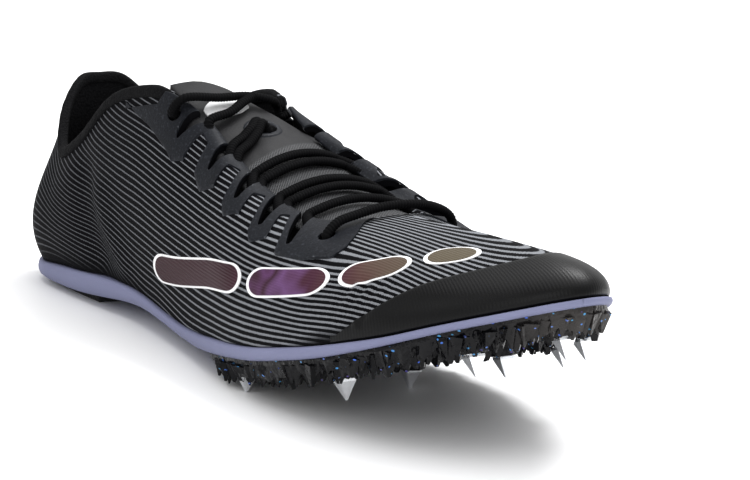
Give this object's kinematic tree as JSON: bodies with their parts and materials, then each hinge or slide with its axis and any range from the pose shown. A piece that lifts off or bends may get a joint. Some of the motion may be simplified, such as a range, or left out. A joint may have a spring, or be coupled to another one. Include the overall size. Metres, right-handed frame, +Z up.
{
  "type": "track spike shoe",
  "caption": "Low track spike shoe for the right foot: striped textile upper, film toe cap and eyestays, black laces, pale foam band, toothed spike plate with steel spikes",
  "frame": {"origin": "middle of the heel pad's flat spot, on the floor", "axes": "+X from heel to toe, +Y to the wearer's left (the inner side of this right shoe), +Z up"},
  "size_m": [0.2858, 0.0899, 0.0845],
  "materials": {
    "striped_textile": "matte black textile with fine silver-grey lines",
    "black_film": "thin black film with fine ribs and a soft sheen",
    "grey_film": "thin dark blue-grey film, matte",
    "black_lining": "soft black lining and tape",
    "tongue_mesh": "grey diagonal-weave mesh",
    "pale_foam": "lavender-grey foam, matte",
    "plate_plastic": "smoky black plastic with small bright flecks",
    "heel_rubber": "matte black rubber",
    "spike_steel": "bright ground steel",
    "black_lace": "cross-ribbed black lace"
  },
  "bodies": {
    "root": {"upper": "striped_textile", "toe_cap": "black_film", "eyestay_outer": "grey_film", "eyestay_inner": "grey_film", "collar_binding": "black_lining", "tongue": "tongue_mesh", "insole": "black_lining", "midsole": "pale_foam", "spike_plate": "plate_plastic", "heel_pad": "heel_rubber", "spike_rear_outer": "spike_steel", "spike_rear_inner": "spike_steel", "spike_side_outer": "spike_steel", "spike_side_inner": "spike_steel", "spike_front_outer": "spike_steel", "spike_front_inner": "spike_steel", "spike_tip": "spike_steel", "spike_middle_inner": "spike_steel", "lace_bar_a": "black_lace", "lace_bar_b": "black_lace", "lace_bar_c": "black_lace", "lace_bar_d": "black_lace", "lace_bar_e": "black_lace", "lace_front": "black_lace", "lace_top": "black_lace", "lace_keeper": "black_lace"}
  },
  "joints": []
}
